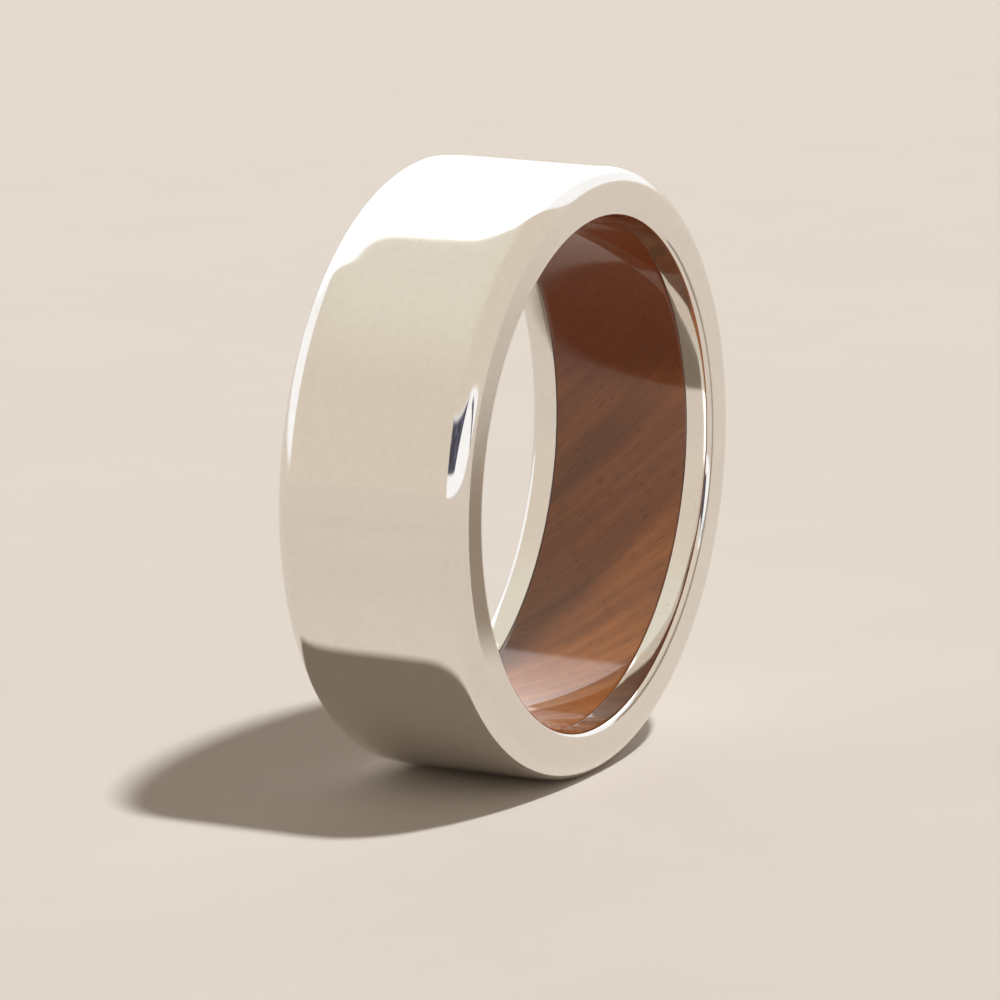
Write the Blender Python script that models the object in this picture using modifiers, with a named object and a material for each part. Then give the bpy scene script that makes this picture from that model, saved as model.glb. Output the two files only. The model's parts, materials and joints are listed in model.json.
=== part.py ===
"""A wood-lined wedding band, in metres.

A band of polished white metal is turned in one piece, with rounded shoulders and a channel cut into
its bore. A thin strip of wood is bent into the channel, bonded there, and sealed flush with the metal
lips under a clear finish. The ring stands on its rim: its centre is the origin, its axis lies along Y.
"""

import math

import bmesh
import bpy

# Metal band
BORE_DIAMETER = 0.02005
WALL_THICKNESS = 0.00195
BAND_WIDTH = 0.0080
SHOULDER_RADIUS = 0.0007
BORE_EDGE_RADIUS = 0.00025
LIP_WIDTH = 0.0011

# Lining, in the order it is laid up from the channel floor to the finger
GLUE_THICKNESS = 0.00008
GLUE_EDGE = 0.00004
WOOD_THICKNESS = 0.0006
FINISH_THICKNESS = 0.00008

# Saw cut across the wood where the two ends of the strip meet
SCARF_ANGLE = math.radians(45)
SCARF_GAP = 0.00006

# Gap between bonded faces
BOND_GAP = 0.00002

# Facets round the ring, and round each quarter of a rounded edge
RING_FACETS = 96
SHOULDER_FACETS = 6
BORE_EDGE_FACETS = 3

# Radii of the layers, from the finger outwards
BORE_RADIUS = BORE_DIAMETER / 2
OUTER_RADIUS = BORE_RADIUS + WALL_THICKNESS
WOOD_INNER = BORE_RADIUS + FINISH_THICKNESS + BOND_GAP
WOOD_OUTER = WOOD_INNER + WOOD_THICKNESS
GLUE_INNER = WOOD_OUTER + BOND_GAP
GLUE_OUTER = GLUE_INNER + GLUE_THICKNESS
CHANNEL_RADIUS = GLUE_OUTER + BOND_GAP

# Half widths along the axis
HALF_BAND = BAND_WIDTH / 2
HALF_CHANNEL = HALF_BAND - LIP_WIDTH
HALF_GLUE = HALF_CHANNEL - BOND_GAP
GLUE_WALL = HALF_GLUE - GLUE_EDGE
HALF_WOOD = GLUE_WALL - BOND_GAP


def remove_all_objects():
    for obj in list(bpy.data.objects):
        bpy.data.objects.remove(obj, do_unlink=True)


def new_collection(name):
    collection = bpy.data.collections.new(name)
    bpy.context.scene.collection.children.link(collection)
    return collection


def new_material(name, colour, roughness, metallic=0.0, transmission=0.0):
    material = bpy.data.materials.new(name)
    material.use_nodes = True
    shader = material.node_tree.nodes["Principled BSDF"]
    shader.inputs["Base Color"].default_value = (*colour, 1.0)
    shader.inputs["Roughness"].default_value = roughness
    shader.inputs["Metallic"].default_value = metallic
    shader.inputs["Transmission Weight"].default_value = transmission
    return material


def new_object(name, mesh, collection, axis):
    """An object that stands with the ring, its local Z along the ring's axis."""
    obj = bpy.data.objects.new(name, mesh)
    obj.parent = axis
    collection.objects.link(obj)
    return obj


def arc(centre, radius, start_deg, end_deg, facets):
    """Points of an arc in the plane of radius and height, both ends included."""
    points = []
    for step in range(facets + 1):
        angle = math.radians(start_deg + (end_deg - start_deg) * step / facets)
        points.append((centre[0] + radius * math.cos(angle), centre[1] + radius * math.sin(angle)))
    return points


def rectangle(inner, outer, half_width):
    """A tube's section, running down its outer side."""
    return [(outer, half_width), (outer, -half_width), (inner, -half_width), (inner, half_width)]


def turned(name, profile, material, collection, axis):
    """A ring whose closed section is spun about local Z, with its flats on the true radii."""
    half_facet = math.pi / RING_FACETS
    section = bmesh.new()
    points = [section.verts.new((r, r * math.tan(half_facet), z)) for r, z in profile]
    for first, second in zip(points, points[1:] + points[:1]):
        section.edges.new((first, second))
    mesh = bpy.data.meshes.new(name)
    section.to_mesh(mesh)
    section.free()
    mesh.materials.append(material)
    obj = new_object(name, mesh, collection, axis)
    screw = obj.modifiers.new("turn", "SCREW")
    screw.steps = RING_FACETS
    screw.render_steps = RING_FACETS
    screw.use_merge_vertices = True
    screw.merge_threshold = 1e-6
    screw.use_smooth_shade = True
    return obj


def band_profile():
    """The metal section: rounded shoulders, flat sides, eased bore edges and the lining channel."""
    shoulder = OUTER_RADIUS - SHOULDER_RADIUS
    shoulder_height = HALF_BAND - SHOULDER_RADIUS
    bore_edge = BORE_RADIUS + BORE_EDGE_RADIUS
    bore_edge_height = HALF_BAND - BORE_EDGE_RADIUS
    profile = arc((shoulder, shoulder_height), SHOULDER_RADIUS, 90, 0, SHOULDER_FACETS)
    profile += arc((shoulder, -shoulder_height), SHOULDER_RADIUS, 0, -90, SHOULDER_FACETS)
    profile += arc((bore_edge, -bore_edge_height), BORE_EDGE_RADIUS, -90, -180, BORE_EDGE_FACETS)
    profile += [(BORE_RADIUS, -HALF_CHANNEL), (CHANNEL_RADIUS, -HALF_CHANNEL)]
    profile += [(CHANNEL_RADIUS, HALF_CHANNEL), (BORE_RADIUS, HALF_CHANNEL)]
    profile += arc((bore_edge, bore_edge_height), BORE_EDGE_RADIUS, 180, 90, BORE_EDGE_FACETS)
    return profile


def glue_profile():
    """A trough that lies on the channel floor and climbs its walls to the wood's inner face."""
    profile = [(GLUE_OUTER, HALF_GLUE), (GLUE_OUTER, -HALF_GLUE)]
    profile += [(WOOD_INNER, -HALF_GLUE), (WOOD_INNER, -GLUE_WALL)]
    profile += [(GLUE_INNER, -GLUE_WALL), (GLUE_INNER, GLUE_WALL)]
    profile += [(WOOD_INNER, GLUE_WALL), (WOOD_INNER, HALF_GLUE)]
    return profile


def scarf_saw(collection, axis):
    """The blade that parts the wood at -X: slanted across the strip, as wide and deep as the band."""
    length = BAND_WIDTH / math.cos(SCARF_ANGLE)
    blade = bmesh.new()
    bmesh.ops.create_cube(blade, size=1.0)
    bmesh.ops.scale(blade, verts=blade.verts, vec=(OUTER_RADIUS, SCARF_GAP, length))
    mesh = bpy.data.meshes.new("scarf_saw")
    blade.to_mesh(mesh)
    blade.free()
    saw = new_object("scarf_saw", mesh, collection, axis)
    saw.location = (-OUTER_RADIUS / 2, 0, 0)
    saw.rotation_euler = (SCARF_ANGLE, 0, 0)
    saw.display_type = "WIRE"
    saw.hide_render = True
    return saw


def part_with(obj, saw):
    cut = obj.modifiers.new("scarf", "BOOLEAN")
    cut.operation = "DIFFERENCE"
    cut.solver = "EXACT"
    cut.object = saw


def build():
    remove_all_objects()
    parts = new_collection("wedding_band")
    cutters = new_collection("cutters")
    axis = bpy.data.objects.new("ring_axis", None)
    axis.rotation_euler = (math.radians(90), 0, 0)
    parts.objects.link(axis)

    metal = new_material("polished_white_metal", (0.86, 0.83, 0.79), 0.04, metallic=1.0)
    glue = new_material("amber_glue", (0.36, 0.22, 0.10), 0.35)
    wood = new_material("red_brown_wood", (0.16, 0.055, 0.022), 0.45)
    finish = new_material("clear_gloss", (0.98, 0.96, 0.92), 0.03, transmission=1.0)

    turned("metal_band", band_profile(), metal, parts, axis)
    turned("glue_bed", glue_profile(), glue, parts, axis)
    liner = turned("wood_liner", rectangle(WOOD_INNER, WOOD_OUTER, HALF_WOOD), wood, parts, axis)
    part_with(liner, scarf_saw(cutters, axis))
    finish_outer = BORE_RADIUS + FINISH_THICKNESS
    turned("clear_finish", rectangle(BORE_RADIUS, finish_outer, HALF_GLUE), finish, parts, axis)


build()
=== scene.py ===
"""Looks of the wood-lined wedding band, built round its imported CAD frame. Lengths are in metres."""

import json
import math

import bmesh
import bpy
from mathutils import Matrix, Vector


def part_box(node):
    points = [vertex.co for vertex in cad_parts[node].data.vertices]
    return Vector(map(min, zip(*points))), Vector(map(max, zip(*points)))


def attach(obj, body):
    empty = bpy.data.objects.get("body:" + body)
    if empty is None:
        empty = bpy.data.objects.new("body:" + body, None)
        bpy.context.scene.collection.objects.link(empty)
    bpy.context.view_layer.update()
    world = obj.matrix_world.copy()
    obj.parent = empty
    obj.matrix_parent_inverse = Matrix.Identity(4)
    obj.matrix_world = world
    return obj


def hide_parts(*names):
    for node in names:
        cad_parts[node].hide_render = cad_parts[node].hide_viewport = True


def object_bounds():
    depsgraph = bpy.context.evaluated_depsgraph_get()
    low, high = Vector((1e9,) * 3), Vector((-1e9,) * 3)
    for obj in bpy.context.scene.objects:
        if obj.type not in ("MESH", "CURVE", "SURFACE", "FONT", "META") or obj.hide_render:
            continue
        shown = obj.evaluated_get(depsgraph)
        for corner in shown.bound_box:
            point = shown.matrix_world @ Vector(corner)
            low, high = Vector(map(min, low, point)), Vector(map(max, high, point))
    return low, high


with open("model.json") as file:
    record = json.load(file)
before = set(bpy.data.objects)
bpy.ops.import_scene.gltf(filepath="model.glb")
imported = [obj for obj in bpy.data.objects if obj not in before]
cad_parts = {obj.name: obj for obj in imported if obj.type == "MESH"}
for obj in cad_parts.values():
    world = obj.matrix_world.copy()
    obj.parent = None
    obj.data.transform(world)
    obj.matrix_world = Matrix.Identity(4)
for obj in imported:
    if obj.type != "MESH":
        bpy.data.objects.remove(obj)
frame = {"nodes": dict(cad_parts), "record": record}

cad_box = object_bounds()


# Metal band
# One turned piece of mirror-polished white gold: a flat outer face, rounded shoulders, flat sides, eased
# bore edges, and two lips inside that frame the wood. Buffing has rolled the outer face off towards its
# shoulders, so that reflections bend there.

class Wire:
    """A node's output as a number in Python expressions: every operator adds a Math node."""

    def __init__(self, graph, socket):
        self.graph = graph
        self.socket = socket

    def at(self, output):
        """Another output of the same node."""
        return Wire(self.graph, self.socket.node.outputs[output])

    def math(self, operation, *others):
        return self.graph.math(operation, self, *others)

    def __add__(self, other):
        return self.math("ADD", other)

    def __radd__(self, other):
        return self.graph.math("ADD", other, self)

    def __sub__(self, other):
        return self.math("SUBTRACT", other)

    def __rsub__(self, other):
        return self.graph.math("SUBTRACT", other, self)

    def __mul__(self, other):
        return self.math("MULTIPLY", other)

    def __rmul__(self, other):
        return self.graph.math("MULTIPLY", other, self)

    def __truediv__(self, other):
        return self.math("DIVIDE", other)

    def __rtruediv__(self, other):
        return self.graph.math("DIVIDE", other, self)

    def __pow__(self, other):
        return self.math("POWER", other)

    def __gt__(self, other):
        return self.math("GREATER_THAN", other)

    def __neg__(self):
        return self * -1.0

    def __abs__(self):
        return self.math("ABSOLUTE")

    def step(self, low, high):
        """Rises smoothly from 0 at low to 1 at high."""
        settings = {"interpolation_type": "SMOOTHSTEP"}
        sockets = {"Value": self, "From Min": low, "From Max": high}
        return self.graph.node("ShaderNodeMapRange", settings, sockets)


class Graph:
    """The nodes of one material, world or geometry tree."""

    def __init__(self, tree):
        self.tree = tree

    def node(self, kind, settings=None, sockets=None, output=0):
        """A node of any kind: its settings are set first, then its sockets get their values or links."""
        made = self.tree.nodes.new(kind)
        for name, value in (settings or {}).items():
            if name == "cases":
                self.set_cases(made.index_switch_items, value)
            else:
                setattr(made, name, value)
        for name, value in (sockets or {}).items():
            if isinstance(value, Wire):
                self.tree.links.new(value.socket, made.inputs[name])
            else:
                made.inputs[name].default_value = value
        return Wire(self, made.outputs[output]) if made.outputs else made

    def set_cases(self, items, count):
        while len(items) < count:
            items.new()

    def math(self, operation, *values):
        return self.node("ShaderNodeMath", {"operation": operation}, dict(enumerate(values)))

    def vector(self, x, y, z):
        return self.node("ShaderNodeCombineXYZ", None, {"X": x, "Y": y, "Z": z})

    def round_parts(self, place):
        """A place's x, y and z, and its distance from the ring's axis."""
        x = self.node("ShaderNodeSeparateXYZ", None, {"Vector": place})
        y, z = x.at("Y"), x.at("Z")
        return x, y, z, (x * x + z * z) ** 0.5

    def mix(self, factor, first, second):
        """A colour between two others."""
        settings = {"data_type": "RGBA", "clamp_factor": True}
        colours = {}
        for key, colour in ((6, first), (7, second)):
            colours[key] = colour if isinstance(colour, Wire) else (*colour, 1.0)
        return self.node("ShaderNodeMix", settings, {0: factor, **colours}, output=2)

    def noise(self, place, scale, detail=2.0, roughness=0.5):
        sockets = {"Vector": place, "Scale": scale, "Detail": detail, "Roughness": roughness}
        return self.node("ShaderNodeTexNoise", None, sockets)

    def feed(self, socket, wire):
        """Links a wire to a shader's socket."""
        self.tree.links.new(wire.socket, socket)


def new_material(name):
    """A material, its nodes as a graph, and its Principled shader."""
    material = bpy.data.materials.new(name)
    material.use_nodes = True
    return material, Graph(material.node_tree), material.node_tree.nodes["Principled BSDF"]


def new_section_tree(name, sizes):
    """An empty geometry tree whose named inputs are the sizes, and those inputs as wires."""
    tree = bpy.data.node_groups.new(name, "GeometryNodeTree")
    for size, value in sizes.items():
        kind = "NodeSocketInt" if isinstance(value, int) else "NodeSocketFloat"
        tree.interface.new_socket(size, in_out="INPUT", socket_type=kind)
    tree.interface.new_socket("Geometry", in_out="OUTPUT", socket_type="NodeSocketGeometry")
    graph = Graph(tree)
    given = graph.node("NodeGroupInput")
    return graph, {size: given.at(size) for size in sizes}


def swept_section(graph, path, path_radius, corners, roundings, facets, row):
    """Sweeps a closed section along a path about Z, then lays the ring's axis along Y.

    The corners are (radius, height) pairs, and long straight edges are cut into rows.
    """
    index = graph.node("GeometryNodeInputIndex")
    places = {"Index": index}
    radii = {"Index": index}
    for number, ((radius, height), rounding) in enumerate(zip(corners, roundings)):
        places[str(number)] = graph.vector(radius - path_radius, height, 0.0)
        radii[str(number)] = rounding
    cases = len(corners)
    place = graph.node("GeometryNodeIndexSwitch", {"data_type": "VECTOR", "cases": cases}, places)
    ease = graph.node("GeometryNodeIndexSwitch", {"data_type": "FLOAT", "cases": cases}, radii)
    points = graph.node("GeometryNodePoints", None, {"Count": cases, "Position": place})
    outline = graph.node("GeometryNodePointsToCurves", None, {"Points": points, "Weight": index})
    outline = graph.node("GeometryNodeSetSplineCyclic", None, {"Geometry": outline, "Cyclic": True})
    sockets = {"Curve": outline, "Count": facets, "Radius": ease}
    outline = graph.node("GeometryNodeFilletCurve", {"mode": "POLY"}, sockets)
    here = graph.node("GeometryNodeInputPosition")
    following = graph.node("GeometryNodeOffsetPointInCurve", None, {"Offset": 1}, "Point Index")
    sockets = {"Value": here, "Index": following}
    there = graph.node("GeometryNodeFieldAtIndex", {"data_type": "FLOAT_VECTOR"}, sockets)
    length = graph.node("ShaderNodeVectorMath", {"operation": "DISTANCE"}, {0: here, 1: there}, "Value")
    outline = graph.node("GeometryNodeSubdivideCurve", None, {"Curve": outline, "Cuts": length / row})
    path = graph.node("GeometryNodeSetCurveNormal", {"mode": "Z_UP"}, {"Curve": path})
    sockets = {"Curve": path, "Profile Curve": outline, "Fill Caps": True}
    ring = graph.node("GeometryNodeCurveToMesh", None, sockets)
    sockets = {"Geometry": ring, "Rotation": (math.radians(90), 0.0, 0.0)}
    return graph.node("GeometryNodeTransform", None, sockets)


def finished_piece(name, graph, sizes, geometry, material):
    """Ends a tree, runs it with its sizes, and keeps the result as a plain mesh."""
    sharp = graph.node("GeometryNodeInputMeshEdgeAngle") > math.radians(40)
    sockets = {"Geometry": geometry, "Shade Smooth": True}
    geometry = graph.node("GeometryNodeSetShadeSmooth", {"domain": "FACE"}, sockets)
    sockets = {"Geometry": geometry, "Selection": sharp, "Shade Smooth": False}
    geometry = graph.node("GeometryNodeSetShadeSmooth", {"domain": "EDGE"}, sockets)
    geometry = graph.node("GeometryNodeRealizeInstances", None, {"Geometry": geometry})
    sockets = {"Geometry": geometry, "Material": material}
    geometry = graph.node("GeometryNodeSetMaterial", None, sockets)
    graph.node("NodeGroupOutput", None, {"Geometry": geometry})

    piece = bpy.data.objects.new(name, bpy.data.meshes.new(name))
    bpy.context.scene.collection.objects.link(piece)
    modifier = piece.modifiers.new("section", "NODES")
    modifier.node_group = graph.tree
    for item in graph.tree.interface.items_tree:
        if item.in_out == "INPUT":
            modifier[item.identifier] = sizes[item.name]
    depsgraph = bpy.context.evaluated_depsgraph_get()
    mesh = bpy.data.meshes.new_from_object(piece.evaluated_get(depsgraph))
    piece.modifiers.remove(modifier)
    piece.data = mesh
    return piece


band_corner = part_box("metal_band")[1]
glue_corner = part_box("glue_bed")[1]
finger_bore = next(mount for mount in frame["record"]["mounts"] if mount["name"] == "finger_bore")
BORE_RADIUS = finger_bore["dims"]["r_mm"] / 1000
BOND_GAP = 0.00002

band_sizes = {
    "Outer radius": band_corner.z,
    "Bore radius": BORE_RADIUS,
    "Half width": band_corner.y,
    "Channel radius": glue_corner.z + BOND_GAP,
    "Channel half width": glue_corner.y + BOND_GAP,
    "Shoulder radius": 0.0007,
    "Bore edge radius": 0.00025,
    "Lip ease": 0.000015,
    "Roll-off start": 0.0012,
    "Roll-off slope": 0.08,
    "Roll-off power": 4.0,
    "Lip roll-off slope": 0.02,
    "Lip roll-off power": 2.0,
    "Row": 0.00018,
    "Facets of a rounding": 14,
    "Segments": 512,
}

WHITE_GOLD = (0.86, 0.83, 0.79)
WHITE_GOLD_HAZED = (0.82, 0.785, 0.74)
WAVES_PER_METRE = 420.0
HAZE_PER_METRE = 260.0
GRAIN_PER_METRE = 2600.0
PITS_PER_METRE = 5200.0
POLISH_LINES_PER_METRE = 24000.0
POLISH_LINES_ROUND = 6.0
POLISHED = 0.035
POLISH_RELIEF = 1e-6

white_gold, graph, shader = new_material("polished_white_gold")
place = graph.node("ShaderNodeTexCoord", None, None, "Object")
x, y, z, radius = graph.round_parts(place)
lines_x = x / radius * POLISH_LINES_ROUND
lines_z = z / radius * POLISH_LINES_ROUND
lines_across = (radius - abs(y)) * POLISH_LINES_PER_METRE
polish_lines = graph.noise(graph.vector(lines_x, lines_z, lines_across), 1.0, detail=3.0)
waviness = graph.noise(place, WAVES_PER_METRE, detail=1.0)
haze = graph.noise(place, HAZE_PER_METRE, detail=4.0, roughness=0.6).step(0.45, 0.75)
grain = graph.noise(place, GRAIN_PER_METRE, detail=3.0, roughness=0.7).step(0.35, 0.7)
pits = graph.noise(place, PITS_PER_METRE, detail=1.0).step(0.735, 0.78)
colour = graph.mix(haze * 0.4 + grain * 0.6 + pits * 0.4, WHITE_GOLD, WHITE_GOLD_HAZED)
graph.feed(shader.inputs["Base Color"], colour)
graph.feed(shader.inputs["Roughness"], POLISHED + polish_lines * 0.03 + haze * 0.035 + pits * 0.12)
relief = waviness + polish_lines * 0.05 - pits * 0.2
sockets = {"Strength": 0.6, "Distance": POLISH_RELIEF, "Height": relief}
graph.feed(shader.inputs["Normal"], graph.node("ShaderNodeBump", None, sockets))
shader.inputs["Metallic"].default_value = 1.0

graph, size = new_section_tree("turned_band", band_sizes)
outer, bore, half = size["Outer radius"], size["Bore radius"], size["Half width"]
channel, channel_half = size["Channel radius"], size["Channel half width"]
corners = [(outer, -half), (outer, half), (bore, half), (bore, channel_half)]
corners += [(channel, channel_half), (channel, -channel_half), (bore, -channel_half), (bore, -half)]
shoulder, edge, ease = size["Shoulder radius"], size["Bore edge radius"], size["Lip ease"]
roundings = [shoulder, shoulder, edge, ease, 0.0, 0.0, ease, edge]
sockets = {"Resolution": size["Segments"], "Radius": outer}
circle = graph.node("GeometryNodeCurvePrimitiveCircle", {"mode": "RADIUS"}, sockets)
ring = swept_section(
    graph, circle, outer, corners, roundings, size["Facets of a rounding"], size["Row"]
)
x, y, z, radius = graph.round_parts(graph.node("GeometryNodeInputPosition"))
past_start = (abs(y) - size["Roll-off start"]).math("MAXIMUM", 0.0)
face_run = half - shoulder - size["Roll-off start"]
face_power = size["Roll-off power"]
face_drop = (past_start / face_run) ** face_power * face_run * size["Roll-off slope"] / face_power
on_face = ((radius - outer) / shoulder + 1.0).math("MAXIMUM", 0.0)
past_wood = (abs(y) - channel_half).math("MAXIMUM", 0.0)
lip_run = half - edge - channel_half
lip_power = size["Lip roll-off power"]
lip_rise = (past_wood / lip_run) ** lip_power * lip_run * size["Lip roll-off slope"] / lip_power
on_lip = (1.0 - (radius - bore) / edge).math("MAXIMUM", 0.0)
rise = lip_rise * on_lip - face_drop * on_face
eased = graph.vector(x / radius * rise, 0.0, z / radius * rise)
ring = graph.node("GeometryNodeSetPosition", None, {"Geometry": ring, "Offset": eased})
band = finished_piece("band", graph, band_sizes, ring, white_gold)
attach(band, "root")
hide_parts("metal_band")


# Glue bed
# A thin trough of cured amber adhesive that lies on the channel's floor and climbs its walls. It bonds the
# wood to the metal, and shows as a hairline along both edges of the wood.

AMBER = (0.30, 0.16, 0.06)
AMBER_DARK = (0.12, 0.055, 0.02)
CLOUDS_PER_METRE = 900.0
BUBBLES_PER_METRE = 9000.0
GLUE_ROUGHNESS = 0.25
GLUE_RELIEF = 1e-5

amber_glue, graph, shader = new_material("cured_amber_glue")
place = graph.node("ShaderNodeTexCoord", None, None, "Object")
cloud = graph.noise(place, CLOUDS_PER_METRE, detail=4.0, roughness=0.6)
sockets = {"Vector": place, "Scale": BUBBLES_PER_METRE}
bubbles = 1.0 - graph.node("ShaderNodeTexVoronoi", None, sockets, "Distance").step(0.05, 0.22)
graph.feed(shader.inputs["Base Color"], graph.mix(cloud.step(0.35, 0.7), AMBER_DARK, AMBER))
graph.feed(shader.inputs["Roughness"], GLUE_ROUGHNESS + cloud * 0.25)
sockets = {"Strength": 0.3, "Distance": GLUE_RELIEF, "Height": cloud - bubbles}
graph.feed(shader.inputs["Normal"], graph.node("ShaderNodeBump", None, sockets))

glue_bed = frame["nodes"]["glue_bed"]
glue_bed.data.materials.clear()
glue_bed.data.materials.append(amber_glue)


# Wood liner and its clear finish
# A thin strip of reddish-brown hardwood, cut on the bias and bent round the bore, with its two ends cut
# along the grain so that they meet in a slanted scarf. A hard gloss coat seals it flush with the lips and
# laps over the glue at its edges.

wood_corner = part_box("wood_liner")[1]
finish_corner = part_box("clear_finish")[1]
POLISHED_AWAY = 0.000005

liner_sizes = {
    "Finish radius": BORE_RADIUS + POLISHED_AWAY,
    "Finish half width": finish_corner.y,
    "Lap radius": finish_corner.z,
    "Wood radius": wood_corner.z,
    "Wood half width": wood_corner.y,
    "Edge ease": 0.000015,
    "Scarf gap": 0.00006,
    "Scarf slant": 1.0,
    "Row": 0.00016,
    "Facets of a rounding": 6,
    "Segments": 720,
}

HEARTWOOD = (0.345, 0.116, 0.029)
PALE_BAND = (0.437, 0.160, 0.043)
DARK_STREAK = (0.125, 0.040, 0.014)
# Deep red heartwood colour that also serves as painted shade on the top of the liner's inside.
DEEP_HEART_AND_TOP_SHADE = (0.178, 0.030, 0.003)
PORE = (0.075, 0.022, 0.009)
GLUE_LINE = (0.15, 0.055, 0.022)
BIAS = math.radians(45)
GRAIN_WANDER = 0.0016
HEART_SHADE_WANDER = 0.004
HEART_SHADE_LEAN = 0.9
HEART_SHADE_FROM = (0.0008, 0.0030)
HEART_SHADE_TO = (0.0105, 0.019)
WOOD_EDGE_BLUR = 0.00001
WOOD_ROUGHNESS = 0.42
UNDER_COAT_GLOSS = 0.1
COAT_ROUGHNESS = 0.03
COAT_IOR = 1.6

lined_wood, graph, shader = new_material("glossy_red_brown_wood")
strip = graph.node("ShaderNodeAttribute", {"attribute_name": "strip"}, None, "Vector")
along_strip = graph.node("ShaderNodeSeparateXYZ", None, {"Vector": strip})
across_strip = along_strip.at("Y")
across_grain = along_strip * math.sin(BIAS)
along_grain = across_strip / math.sin(BIAS) - across_grain


def grain_noise(across, per_metre_across, per_metre_along, layer, detail):
    """Noise that is drawn out along the grain. Each layer is another cut through the same noise."""
    place = graph.vector(across * per_metre_across, along_grain * per_metre_along, layer)
    return graph.noise(place, 1.0, detail)


drift = grain_noise(across_grain, 150.0, 90.0, layer=3.0, detail=1.0) - 0.5
across_wavy = across_grain + drift * GRAIN_WANDER
streaks = grain_noise(across_wavy, 420.0, 60.0, layer=8.3, detail=2.0).step(0.52, 0.70)
growth = grain_noise(across_wavy, 2600.0, 110.0, layer=1.0, detail=3.0).step(0.35, 0.75)
fibre = grain_noise(across_wavy, 16000.0, 500.0, layer=5.0, detail=2.0)
figure = grain_noise(across_grain, 250.0, 900.0, layer=9.0, detail=1.0)
pores = grain_noise(across_wavy, 19000.0, 1500.0, layer=2.0, detail=0.0).step(0.66, 0.76)
# A deep heartwood band runs from just above the side over the top of the inside. It is partly the wood's
# figure and partly painted shade, darkening the top of the inside where little light falls.
heart_shade_place = along_strip - across_strip * HEART_SHADE_LEAN + drift * HEART_SHADE_WANDER
heart_and_top_shade = heart_shade_place.step(*HEART_SHADE_FROM) * (1.0 - heart_shade_place.step(*HEART_SHADE_TO))
colour = graph.mix(growth, HEARTWOOD, PALE_BAND)
colour = graph.mix(heart_and_top_shade * 0.85, colour, DEEP_HEART_AND_TOP_SHADE)
colour = graph.mix(streaks * 0.6, colour, DARK_STREAK)
colour = graph.mix(abs(figure - 0.5) * 0.5 + fibre * 0.25, colour, DARK_STREAK)
colour = graph.mix(pores * 0.5, colour, PORE)
past_wood = abs(across_strip).step(wood_corner.y - WOOD_EDGE_BLUR, wood_corner.y + WOOD_EDGE_BLUR)
colour = graph.mix(past_wood * 0.8, colour, GLUE_LINE)
graph.feed(shader.inputs["Base Color"], colour)
graph.feed(shader.inputs["Roughness"], WOOD_ROUGHNESS + fibre * 0.2)
shader.inputs["Specular IOR Level"].default_value = UNDER_COAT_GLOSS
shader.inputs["Coat Weight"].default_value = 1.0
shader.inputs["Coat Roughness"].default_value = COAT_ROUGHNESS
shader.inputs["Coat IOR"].default_value = COAT_IOR

graph, size = new_section_tree("bent_strip", liner_sizes)
finish, finish_half, lap = size["Finish radius"], size["Finish half width"], size["Lap radius"]
wood, wood_half, ease = size["Wood radius"], size["Wood half width"], size["Edge ease"]
corners = [(wood, -wood_half), (wood, wood_half), (lap, wood_half), (lap, finish_half)]
corners += [(finish, finish_half), (finish, -finish_half), (lap, -finish_half), (lap, -wood_half)]
roundings = [0.0, 0.0, 0.0, 0.0, ease, ease, 0.0, 0.0]
gap_angle = size["Scarf gap"] / finish
sockets = {
    "Resolution": size["Segments"],
    "Radius": finish,
    "Start Angle": gap_angle / 2.0 - math.pi,
    "Sweep Angle": 2.0 * math.pi - gap_angle,
}
arc = graph.node("GeometryNodeCurveArc", {"mode": "RADIUS"}, sockets)
ring = swept_section(
    graph, arc, finish, corners, roundings, size["Facets of a rounding"], size["Row"]
)
x, y, z, radius = graph.round_parts(graph.node("GeometryNodeInputPosition"))
turn = z.math("ARCTAN2", x)
strip = graph.vector(turn * finish, y, radius - finish)
settings = {"data_type": "FLOAT_VECTOR", "domain": "POINT"}
sockets = {"Geometry": ring, "Name": "strip", "Value": strip}
ring = graph.node("GeometryNodeStoreNamedAttribute", settings, sockets)
slanted = turn - y * size["Scarf slant"] / finish
bent = graph.vector(radius * slanted.math("COSINE"), y, radius * slanted.math("SINE"))
ring = graph.node("GeometryNodeSetPosition", None, {"Geometry": ring, "Position": bent})
liner = finished_piece("liner", graph, liner_sizes, ring, lined_wood)
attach(liner, "root")
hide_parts("wood_liner", "clear_finish")


# Floor
# A plain sheet of pale card that the ring stands on, wide enough to fill every view. It is matt and very
# faintly mottled.

FLOOR_HALF = 3.0
FLOOR_PALE = (0.767, 0.717, 0.664)
FLOOR_SHADE = (0.741, 0.688, 0.633)
MOTTLE_PER_METRE = 60.0
CARD_ROUGHNESS = 0.6
CARD_GLOSS = 0.1

pale_card, graph, shader = new_material("pale_card")
place = graph.node("ShaderNodeTexCoord", None, None, "Object")
mottle = graph.noise(place, MOTTLE_PER_METRE, detail=5.0, roughness=0.6)
graph.feed(shader.inputs["Base Color"], graph.mix(mottle.step(0.3, 0.7), FLOOR_SHADE, FLOOR_PALE))
graph.feed(shader.inputs["Roughness"], CARD_ROUGHNESS + mottle * 0.2)
shader.inputs["Specular IOR Level"].default_value = CARD_GLOSS

sheet = bmesh.new()
bmesh.ops.create_grid(sheet, x_segments=8, y_segments=8, size=FLOOR_HALF)
bmesh.ops.translate(sheet, verts=sheet.verts, vec=(0.0, 0.0, cad_box[0].z))
floor_mesh = bpy.data.meshes.new("floor")
sheet.to_mesh(floor_mesh)
sheet.free()
floor_mesh.materials.append(pale_card)
floor = bpy.data.objects.new("floor", floor_mesh)
bpy.context.scene.collection.objects.link(floor)


# Shade card
# A graduated kraft card, stood on the floor just right of the picture, that only reflections show. The
# polished near side of the band mirrors its shaded face, and so stands out from the bright outer face.

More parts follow.
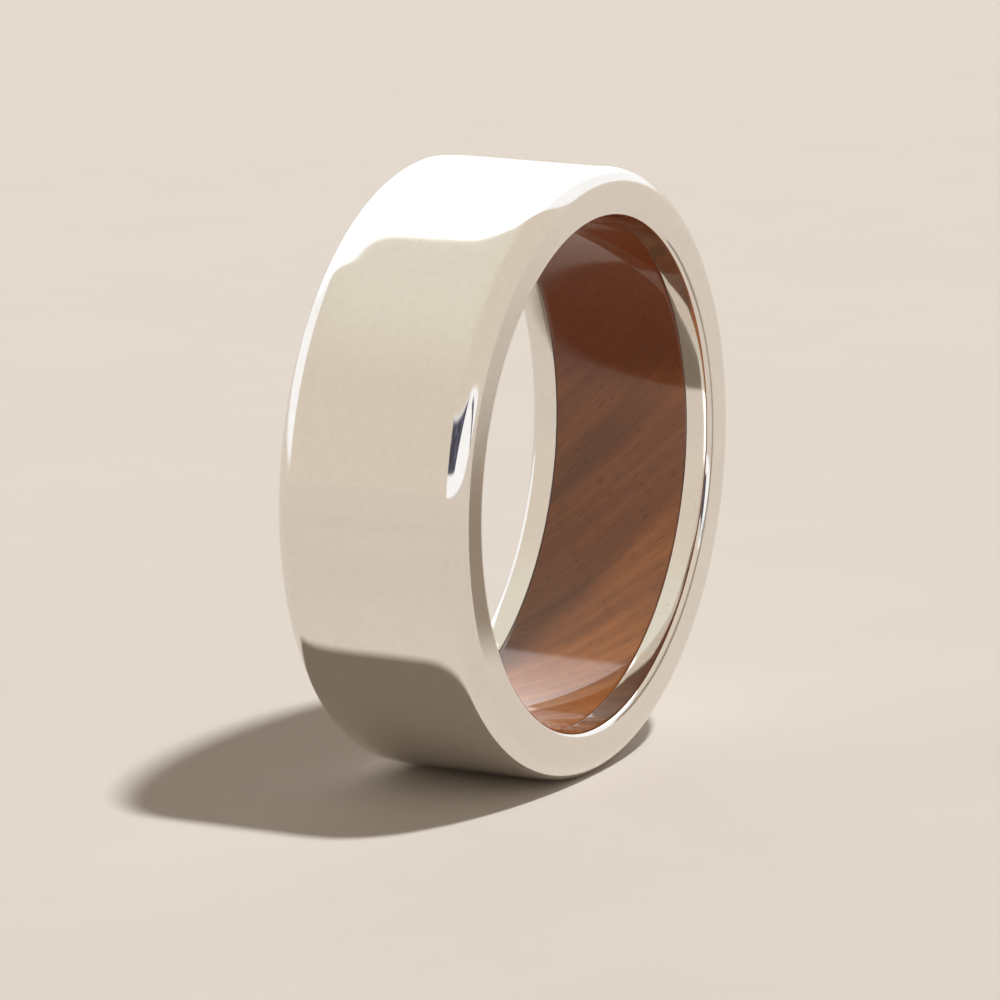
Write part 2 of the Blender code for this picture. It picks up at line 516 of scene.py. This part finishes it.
KRAFT = (0.64, 0.59, 0.53)
KRAFT_ROUGHNESS = 0.8
CARD_TURN = math.radians(26.7)
CARD_DISTANCE = 0.020
CARD_NEAR_EDGE = 0.0
CARD_FAR_EDGE = 0.0085
CARD_TOP = 0.008
SOLID_FADE = (-0.0055, 0.0012)
FAINT_FADE = (0.0, CARD_TOP)
FAINT_SHARE = 0.3
FOOT_FADE = 0.0025

kraft, graph, shader = new_material("graduated_kraft")
place = graph.node("ShaderNodeTexCoord", None, None, "Object")
z = graph.node("ShaderNodeSeparateXYZ", None, {"Vector": place}, "Z")
shown = 1.0 - z.step(*SOLID_FADE) * (1.0 - FAINT_SHARE) - z.step(*FAINT_FADE) * FAINT_SHARE
shown = shown * z.step(cad_box[0].z, cad_box[0].z + FOOT_FADE)
graph.feed(shader.inputs["Alpha"], shown)
shader.inputs["Base Color"].default_value = (*KRAFT, 1.0)
shader.inputs["Roughness"].default_value = KRAFT_ROUGHNESS

run = (CARD_NEAR_EDGE + CARD_FAR_EDGE) / 2
middle = (cad_box[0].z + CARD_TOP) / 2
half_sizes = ((CARD_FAR_EDGE - CARD_NEAR_EDGE) / 2, 1.0, (CARD_TOP - cad_box[0].z) / 2, 1.0)
card_place = Matrix.Rotation(CARD_TURN, 4, "Z")
card_place @= Matrix.Translation((run, -CARD_DISTANCE, middle))
card_place @= Matrix.Diagonal(half_sizes)
card_place @= Matrix.Rotation(math.radians(90), 4, "X")
card = bmesh.new()
bmesh.ops.create_grid(card, x_segments=1, y_segments=1, size=1.0, matrix=card_place)
card_mesh = bpy.data.meshes.new("shade_card")
card.to_mesh(card_mesh)
card.free()
card_mesh.materials.append(kraft)
shade_card = bpy.data.objects.new("shade_card", card_mesh)
shade_card.visible_camera = False
shade_card.visible_diffuse = False
shade_card.visible_shadow = False
bpy.context.scene.collection.objects.link(shade_card)


# Studio light
# A room with cream walls, a white window at the back right, a white screen in front and a dark opening in
# it, which the polished metal and the gloss mirror. A plain warm fill lights the shadows, and a key lamp
# above the front draws them.

CREAM = (0.78, 0.69, 0.586)
CREAM_HIGH = (0.838, 0.796, 0.686)
WHITE = (1.10, 1.11, 1.13)
GLOW = (2.5, 2.44, 2.40)
DARK = (0.075, 0.072, 0.085)
DARK_BLUE = (0.16, 0.16, 0.25)
FILL = (0.255, 0.212, 0.168)

CREAM_RISE = (0.55, 0.95)
CREAM_BEHIND = (0.0, 0.45)
WINDOW_TOP = math.sin(math.radians(60.2))
WINDOW_BEHIND = (0.996, 0.087, 0.0)
WINDOW_BEHIND_ROUNDING = 0.08
WINDOW_RIGHT_OF = (-0.342, 0.940, 0.0)
WINDOW_RIGHT_ROUNDING = 0.12
WINDOW_BLUR = (-0.01, 0.01)
BACKDROP_EDGE = 0.64
BACKDROP_ROUNDING = 0.05
SIDE_PANEL = (0.925, 0.163, 0.342)
SIDE_PANEL_EDGE = 0.70
HORIZON_FADE = (0.0, 0.12)
GLOW_FROM = (0.60, 0.42, 0.68)
GLOW_SPREAD = (0.75, 0.9)
SCREEN_FACES = (-0.940, -0.342, 0.0)
SCREEN_ALONG = (0.342, -0.940, 0.0)
SCREEN_FRONT = (0.0, 0.1)
SCREEN_SIDE = (-0.52, -0.46)
SCREEN_UNDER = (0.510, 0.212, 0.833)
SCREEN_UNDER_BLUR = (-0.02, 0.02)
SCREEN_TOP = (0.44, 0.50)
OPENING_LEAN = 1.35
OPENING_SIDE = (-0.08, -0.05)
OPENING_BOTTOM = (0.12, 0.15)
OPENING_TOP = (0.42, 0.48)
STAND_ACROSS = (0.607, 0.103, 0.788)
STAND_WIDTH = (0.012, 0.03)
STAND_FROM = (0.05, -1.0, 0.1)
STAND_LENGTH = (0.90, 0.94)
DARK_PATCHES = 14.0

KEY_FROM = Vector((0.11, -0.338, 0.92))
KEY_STRENGTH = 2.42
KEY_ANGLE = math.radians(4.5)

world = bpy.data.worlds.new("studio")
bpy.context.scene.world = world
world.use_nodes = True
graph = Graph(world.node_tree)
towards = graph.node("ShaderNodeTexCoord", None, None, "Generated")


def facing(aim):
    """The cosine of the angle between the direction looked at and an aim."""
    sockets = {0: towards, 1: tuple(Vector(aim).normalized())}
    return graph.node("ShaderNodeVectorMath", {"operation": "DOT_PRODUCT"}, sockets, "Value")


height = facing((0.0, 0.0, 1.0))
behind = facing((0.0, 1.0, 0.0))
light = graph.mix(height.step(*CREAM_RISE) * behind.step(*CREAM_BEHIND), CREAM, CREAM_HIGH)

window = (WINDOW_TOP - height).math("SMOOTH_MIN", facing(WINDOW_BEHIND), WINDOW_BEHIND_ROUNDING)
window = window.math("SMOOTH_MIN", facing(WINDOW_RIGHT_OF), WINDOW_RIGHT_ROUNDING)
window = window.math("SMOOTH_MAX", behind - BACKDROP_EDGE, BACKDROP_ROUNDING)
window = window.math("MAXIMUM", facing(SIDE_PANEL) - SIDE_PANEL_EDGE).step(*WINDOW_BLUR)
light = graph.mix(window * height.step(*HORIZON_FADE), light, WHITE)
light = graph.mix(facing(GLOW_FROM).step(*GLOW_SPREAD) * window, light, GLOW)

in_front = facing(SCREEN_FACES).step(*SCREEN_FRONT)
sideways = facing(SCREEN_ALONG)
from_side = sideways.step(*SCREEN_SIDE)
screen = (1.0 - facing(SCREEN_UNDER).step(*SCREEN_UNDER_BLUR)) * in_front
screen = screen * from_side * (1.0 - height.step(*SCREEN_TOP))
light = graph.mix(screen, light, WHITE)

opening = from_side * (1.0 - (sideways - height * OPENING_LEAN).step(*OPENING_SIDE))
opening = opening * height.step(*OPENING_BOTTOM) * (1.0 - height.step(*OPENING_TOP)) * in_front
stand = 1.0 - abs(facing(STAND_ACROSS)).step(*STAND_WIDTH)
stand = stand * facing(STAND_FROM).step(*STAND_LENGTH)
dark = graph.mix(graph.noise(towards, DARK_PATCHES).step(0.5, 0.62), DARK, DARK_BLUE)
light = graph.mix(opening.math("MAXIMUM", stand), light, dark)

rays = graph.node("ShaderNodeLightPath", None, None, "Is Camera Ray")
seen = rays.math("MAXIMUM", rays.at("Is Glossy Ray")).math("MAXIMUM", rays.at("Is Transmission Ray"))
graph.feed(world.node_tree.nodes["Background"].inputs["Color"], graph.mix(seen, FILL, light))

key_light = bpy.data.lights.new("key", "SUN")
key_light.energy = KEY_STRENGTH
key_light.angle = KEY_ANGLE
key = bpy.data.objects.new("key", key_light)
key.rotation_euler = KEY_FROM.to_track_quat("Z", "Y").to_euler()
key.visible_glossy = False
bpy.context.scene.collection.objects.link(key)


# Camera
# It stands where the photograph was taken from. The ring's centre lies a little right of and above the
# middle of the picture, so the camera aims past it.

PICTURE_PIXELS = 1000.0
FOCAL_PIXELS = 7361.8
RING_CENTRE_PIXELS = (508.9, 465.5)
CAMERA_DISTANCE = 0.2864
CAMERA_AZIMUTH = math.radians(-63.31)
CAMERA_ELEVATION = math.radians(11.876)
SENSOR_WIDTH_MM = 36.0
NEAREST = 0.005
FARTHEST = 20.0

level = math.cos(CAMERA_ELEVATION)
back = Vector((
    math.sin(CAMERA_AZIMUTH) * level,
    -math.cos(CAMERA_AZIMUTH) * level,
    math.sin(CAMERA_ELEVATION),
))
right = Vector((0.0, 0.0, 1.0)).cross(back).normalized()
up = back.cross(right)
metres_per_pixel = CAMERA_DISTANCE / FOCAL_PIXELS
offset_right = (RING_CENTRE_PIXELS[0] - PICTURE_PIXELS / 2) * metres_per_pixel
offset_up = (PICTURE_PIXELS / 2 - RING_CENTRE_PIXELS[1]) * metres_per_pixel
aim_point = -right * offset_right - up * offset_up

lens = bpy.data.cameras.new("camera")
lens.sensor_width = SENSOR_WIDTH_MM
lens.lens = FOCAL_PIXELS / PICTURE_PIXELS * SENSOR_WIDTH_MM
lens.clip_start = NEAREST
lens.clip_end = FARTHEST
camera = bpy.data.objects.new("camera", lens)
camera.location = back * CAMERA_DISTANCE
camera.rotation_euler = (camera.location - aim_point).to_track_quat("Z", "Y").to_euler()
bpy.context.scene.collection.objects.link(camera)
bpy.context.scene.camera = camera
bpy.context.scene.view_settings.view_transform = "Standard"
